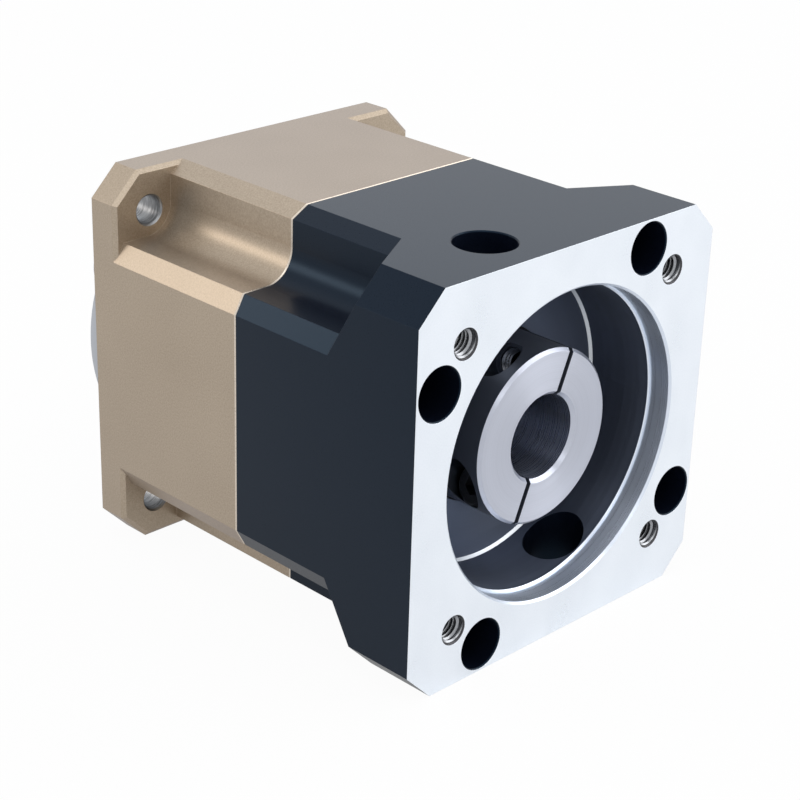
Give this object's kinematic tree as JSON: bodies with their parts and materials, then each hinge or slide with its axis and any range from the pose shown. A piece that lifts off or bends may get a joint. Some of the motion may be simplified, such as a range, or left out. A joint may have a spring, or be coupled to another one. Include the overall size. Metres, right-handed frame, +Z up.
{
  "type": "planetary gearbox",
  "caption": "inline planetary gear reducer with a square flange, split clamping hub for a motor shaft and keyed output shaft",
  "frame": {"origin": "centre of the output mounting face, on the gear axis", "axes": "+Y along the output shaft, away from the motor; +Z up; +X to the right seen from the motor side"},
  "size_m": [0.09, 0.1495, 0.09],
  "materials": {
    "anodised_gold": "fine blasted, champagne anodised",
    "anodised_black": "fine blasted, black anodised, bare on the machined mouth",
    "turned_steel": "turned and ground",
    "gear_steel": "case hardened, ground flanks",
    "bearing_steel": "ground and polished",
    "screw_steel": "black oxide",
    "key_steel": "drawn bright",
    "spring_steel": "phosphated",
    "bronze": "satin",
    "cage_plastic": "moulded",
    "seal_rubber": "moulded"
  },
  "bodies": {
    "housing": {"output_housing": "anodised_gold", "input_adapter": "anodised_black", "ring_gear": "gear_steel", "case_seal_ring": "seal_rubber", "case_screws": "screw_steel", "rear_bearing_outer_ring": "bearing_steel", "front_bearing_outer_ring": "bearing_steel", "input_bearing_outer_ring": "bearing_steel", "output_seal": "seal_rubber", "output_seal_spring": "spring_steel", "input_seal": "seal_rubber", "input_seal_spring": "spring_steel", "input_bearing_clip": "spring_steel"},
    "carrier": {"planet_carrier": "turned_steel", "output_key": "key_steel", "thrust_washers": "bronze", "planet_pin_1": "bearing_steel", "planet_pin_2": "bearing_steel", "planet_pin_3": "bearing_steel", "rear_bearing_inner_ring": "bearing_steel", "front_bearing_inner_ring": "bearing_steel", "output_shaft_clip": "spring_steel"},
    "input": {"input_shaft": "turned_steel", "sun_gear": "gear_steel", "clamp_screws": "screw_steel", "input_bearing_inner_ring": "bearing_steel", "input_shaft_clip": "spring_steel"},
    "planet_1": {"planet_gear_1": "gear_steel"},
    "needles_1": {"planet_needles_1": "bearing_steel", "needle_cage_1": "cage_plastic"},
    "planet_2": {"planet_gear_2": "gear_steel"},
    "needles_2": {"planet_needles_2": "bearing_steel", "needle_cage_2": "cage_plastic"},
    "planet_3": {"planet_gear_3": "gear_steel"},
    "needles_3": {"planet_needles_3": "bearing_steel", "needle_cage_3": "cage_plastic"},
    "rear_balls": {"rear_bearing_balls": "bearing_steel", "rear_bearing_cage": "cage_plastic"},
    "front_balls": {"front_bearing_balls": "bearing_steel", "front_bearing_cage": "cage_plastic"},
    "input_balls": {"input_bearing_balls": "bearing_steel", "input_bearing_cage": "cage_plastic"}
  },
  "joints": [
    {"name": "output_spin", "type": "hinge", "parent": "housing", "child": "carrier", "pos_m": [0, -0.04, 0], "axis": [0, 1, 0], "continuous": true},
    {"name": "input_spin", "type": "hinge", "parent": "housing", "child": "input", "pos_m": [0, -0.04, 0], "axis": [0, 1, 0], "continuous": true},
    {"name": "planet_spin_1", "type": "hinge", "parent": "carrier", "child": "planet_1", "pos_m": [0, -0.04, 0.0225], "axis": [0, 1, 0], "continuous": true},
    {"name": "needle_spin_1", "type": "hinge", "parent": "carrier", "child": "needles_1", "pos_m": [0, -0.04, 0.0225], "axis": [0, 1, 0], "continuous": true},
    {"name": "planet_spin_2", "type": "hinge", "parent": "carrier", "child": "planet_2", "pos_m": [-0.01949, -0.04, -0.01125], "axis": [0, 1, 0], "continuous": true},
    {"name": "needle_spin_2", "type": "hinge", "parent": "carrier", "child": "needles_2", "pos_m": [-0.01949, -0.04, -0.01125], "axis": [0, 1, 0], "continuous": true},
    {"name": "planet_spin_3", "type": "hinge", "parent": "carrier", "child": "planet_3", "pos_m": [0.01949, -0.04, -0.01125], "axis": [0, 1, 0], "continuous": true},
    {"name": "needle_spin_3", "type": "hinge", "parent": "carrier", "child": "needles_3", "pos_m": [0.01949, -0.04, -0.01125], "axis": [0, 1, 0], "continuous": true},
    {"name": "rear_ball_spin", "type": "hinge", "parent": "housing", "child": "rear_balls", "pos_m": [0, -0.04, 0], "axis": [0, 1, 0], "continuous": true},
    {"name": "front_ball_spin", "type": "hinge", "parent": "housing", "child": "front_balls", "pos_m": [0, -0.04, 0], "axis": [0, 1, 0], "continuous": true},
    {"name": "input_ball_spin", "type": "hinge", "parent": "housing", "child": "input_balls", "pos_m": [0, -0.04, 0], "axis": [0, 1, 0], "continuous": true}
  ],
  "couplings": [
    {"joint": "input_spin", "follows": "output_spin", "ratio": 5},
    {"joint": "planet_spin_1", "follows": "output_spin", "ratio": -2.6667},
    {"joint": "needle_spin_1", "follows": "output_spin", "ratio": -1.6},
    {"joint": "planet_spin_2", "follows": "output_spin", "ratio": -2.6667},
    {"joint": "needle_spin_2", "follows": "output_spin", "ratio": -1.6},
    {"joint": "planet_spin_3", "follows": "output_spin", "ratio": -2.6667},
    {"joint": "needle_spin_3", "follows": "output_spin", "ratio": -1.6},
    {"joint": "rear_ball_spin", "follows": "output_spin", "ratio": 0.43529},
    {"joint": "front_ball_spin", "follows": "output_spin", "ratio": 0.43333},
    {"joint": "input_ball_spin", "follows": "output_spin", "ratio": 2.0588}
  ]
}
